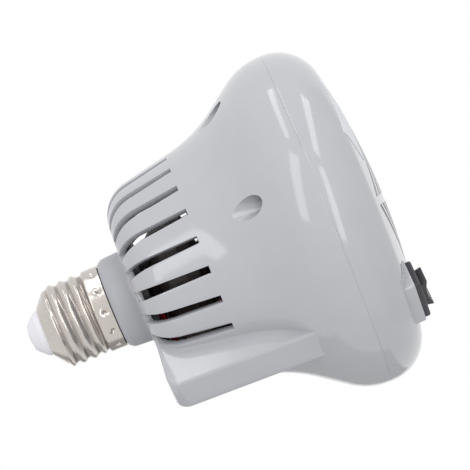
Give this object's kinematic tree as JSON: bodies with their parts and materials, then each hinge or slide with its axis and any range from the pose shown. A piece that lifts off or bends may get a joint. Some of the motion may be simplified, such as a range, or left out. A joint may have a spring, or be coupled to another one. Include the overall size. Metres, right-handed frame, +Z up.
{
  "type": "brooder heat lamp",
  "caption": "Screw-in brooder heater with a slotted grey bell housing, square warm-air grille, inner fan and a three-position rocker switch.",
  "frame": {"origin": "tip of the centre contact of the screw cap", "axes": "+Z up the screw cap towards the contact, so the heater hangs below; the wire pod and the switch are on the -Y side"},
  "size_m": [0.1072, 0.1072, 0.1173],
  "materials": {
    "grey_abs": "moulded, glossy",
    "black_nylon": "moulded, satin",
    "white_plastic": "moulded, satin",
    "nickel": "nickel plate on brass",
    "label_film": "blank vinyl sticker",
    "screw_steel": "zinc plate",
    "brass": "stamped",
    "motor_black": "black lacquer",
    "brown_plastic": "heat-resistant nylon",
    "brown_phenolic": "phenolic moulding",
    "fin_aluminium": "mill finish",
    "white_ceramic": "fired",
    "board_laminate": "paper phenolic laminate",
    "capacitor_red": "dipped film capacitor",
    "red_pvc": "PVC sleeve",
    "black_pvc": "PVC sleeve"
  },
  "bodies": {
    "housing": {"centre_contact": "nickel", "insulator_nose": "white_plastic", "screw_shell": "nickel", "rear_housing": "grey_abs", "front_cover": "grey_abs", "blank_label": "label_film", "case_screws": "screw_steel", "switch_body": "black_nylon", "switch_terminal_1": "brass", "switch_terminal_2": "brass", "switch_terminal_3": "brass", "motor_screws": "screw_steel", "motor_bracket": "black_nylon", "fan_motor": "motor_black", "heater_frame": "brown_phenolic", "heater_screws": "screw_steel", "fin_block_1": "fin_aluminium", "fin_block_2": "fin_aluminium", "fin_block_3": "fin_aluminium", "heating_bar_1": "fin_aluminium", "heating_bar_2": "fin_aluminium", "heater_terminal_1": "brass", "heater_terminal_2": "brass", "thermal_cutout": "black_nylon", "thermal_fuse": "white_ceramic", "circuit_board": "board_laminate", "dropper_capacitor": "capacitor_red", "bridge_rectifier": "black_nylon", "live_wire": "red_pvc", "neutral_wire": "red_pvc", "heater_wire": "black_pvc", "motor_wire_red": "red_pvc", "motor_wire_black": "black_pvc"},
    "fan": {"fan_shaft": "screw_steel", "fan_impeller": "brown_plastic"},
    "rocker": {"rocker": "black_nylon"}
  },
  "joints": [
    {"name": "fan_spin", "type": "hinge", "parent": "housing", "child": "fan", "pos_m": [0, 0, -0.06], "axis": [0, 0, 1], "continuous": true},
    {"name": "rocker_tilt", "type": "hinge", "parent": "housing", "child": "rocker", "pos_m": [0, -0.0408, -0.1133], "axis": [0, 1, 0], "range_deg": [-12, 12]}
  ]
}
